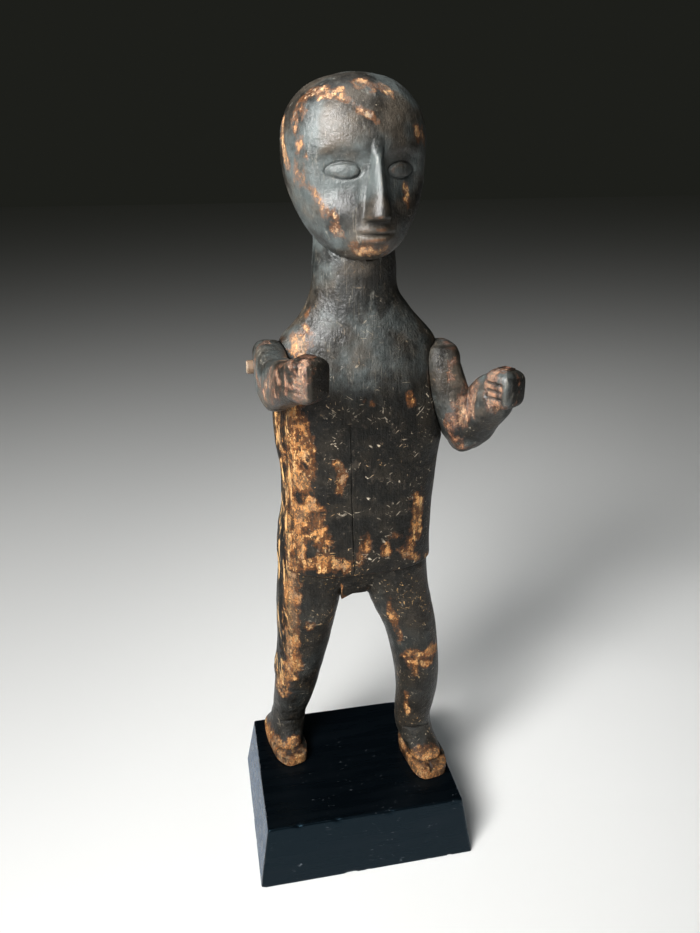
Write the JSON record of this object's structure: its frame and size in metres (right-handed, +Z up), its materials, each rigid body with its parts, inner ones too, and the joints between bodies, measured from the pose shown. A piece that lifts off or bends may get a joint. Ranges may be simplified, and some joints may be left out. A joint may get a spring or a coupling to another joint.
{
  "type": "wooden ancestor figure",
  "caption": "Standing carved wooden figure with a smooth egg-shaped head and pegged-on arms held forward, on its black bevelled block plinth.",
  "frame": {"origin": "middle of the plinth's underside", "axes": "+Z up along the figure, the figure faces -Y, +X towards the figure's left hand"},
  "size_m": [0.1895, 0.1465, 0.5653],
  "materials": {
    "black_stained_wood": "satin black stain over fine straight grain",
    "patinated_wood": "dark satin patina worn through to tan wood in patches",
    "peg_wood": "bare wood, dull"
  },
  "bodies": {
    "root": {"plinth": "black_stained_wood", "figure_body": "patinated_wood", "right_arm": "patinated_wood", "left_arm": "patinated_wood", "right_shoulder_peg": "peg_wood", "left_shoulder_peg": "peg_wood"}
  },
  "joints": []
}
